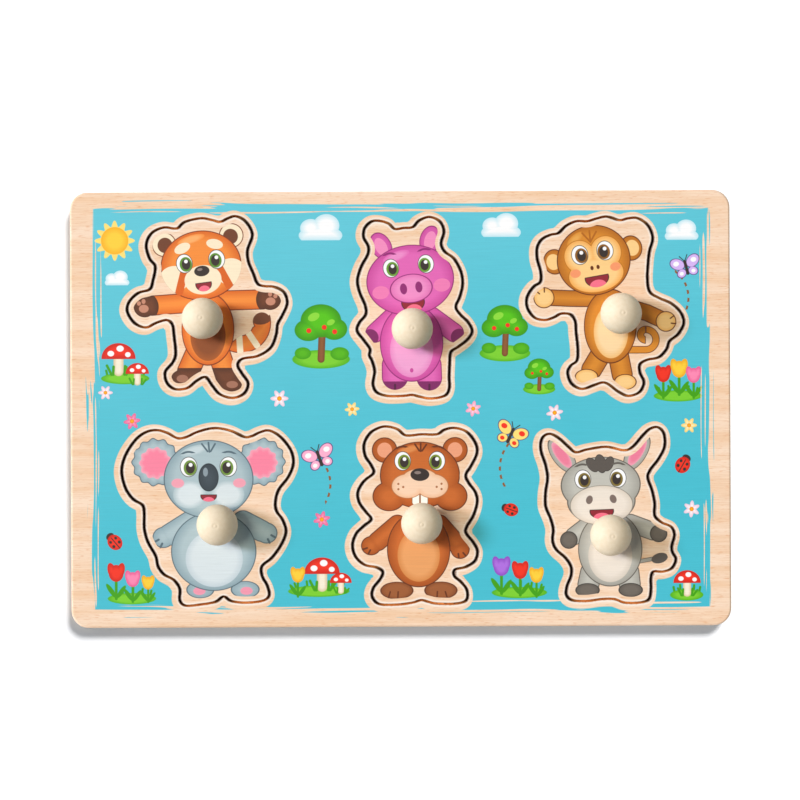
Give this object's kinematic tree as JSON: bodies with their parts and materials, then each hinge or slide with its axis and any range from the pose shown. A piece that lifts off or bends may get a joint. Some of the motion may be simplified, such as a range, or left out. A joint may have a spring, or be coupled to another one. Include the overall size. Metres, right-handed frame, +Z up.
{
  "type": "peg puzzle",
  "caption": "Flat wooden peg puzzle: a printed rectangular board with animal-shaped recesses, filled flush by lift-out figures that each carry a turned wooden knob.",
  "frame": {"origin": "middle of the backing board's underside", "axes": "+X along the board's length, +Y towards the picture's upper edge, +Z up out of the picture"},
  "size_m": [0.3, 0.198, 0.026],
  "materials": {
    "printed_board": "pale plywood, matt print over most of the face",
    "backing_plywood": "sanded, matt",
    "turned_wood": "turned and sanded, matt",
    "screw_steel": "zinc plated",
    "red_panda_print": "pale plywood with a matt printed figure",
    "pig_print": "pale plywood with a matt printed figure",
    "monkey_print": "pale plywood with a matt printed figure",
    "koala_print": "pale plywood with a matt printed figure",
    "beaver_print": "pale plywood with a matt printed figure",
    "donkey_print": "pale plywood with a matt printed figure"
  },
  "bodies": {
    "board": {"frame_board": "printed_board", "backing_board": "backing_plywood"},
    "red_panda": {"red_panda_piece": "red_panda_print", "red_panda_knob": "turned_wood", "red_panda_screw": "screw_steel"},
    "pig": {"pig_piece": "pig_print", "pig_knob": "turned_wood", "pig_screw": "screw_steel"},
    "monkey": {"monkey_piece": "monkey_print", "monkey_knob": "turned_wood", "monkey_screw": "screw_steel"},
    "koala": {"koala_piece": "koala_print", "koala_knob": "turned_wood", "koala_screw": "screw_steel"},
    "beaver": {"beaver_piece": "beaver_print", "beaver_knob": "turned_wood", "beaver_screw": "screw_steel"},
    "donkey": {"donkey_piece": "donkey_print", "donkey_knob": "turned_wood", "donkey_screw": "screw_steel"}
  },
  "joints": [
    {"name": "red_panda_lift", "type": "slide", "parent": "board", "child": "red_panda", "axis": [0, 0, 1], "range_m": [0, 0.04]},
    {"name": "pig_lift", "type": "slide", "parent": "board", "child": "pig", "axis": [0, 0, 1], "range_m": [0, 0.04]},
    {"name": "monkey_lift", "type": "slide", "parent": "board", "child": "monkey", "axis": [0, 0, 1], "range_m": [0, 0.04]},
    {"name": "koala_lift", "type": "slide", "parent": "board", "child": "koala", "axis": [0, 0, 1], "range_m": [0, 0.04]},
    {"name": "beaver_lift", "type": "slide", "parent": "board", "child": "beaver", "axis": [0, 0, 1], "range_m": [0, 0.04]},
    {"name": "donkey_lift", "type": "slide", "parent": "board", "child": "donkey", "axis": [0, 0, 1], "range_m": [0, 0.04]}
  ]
}
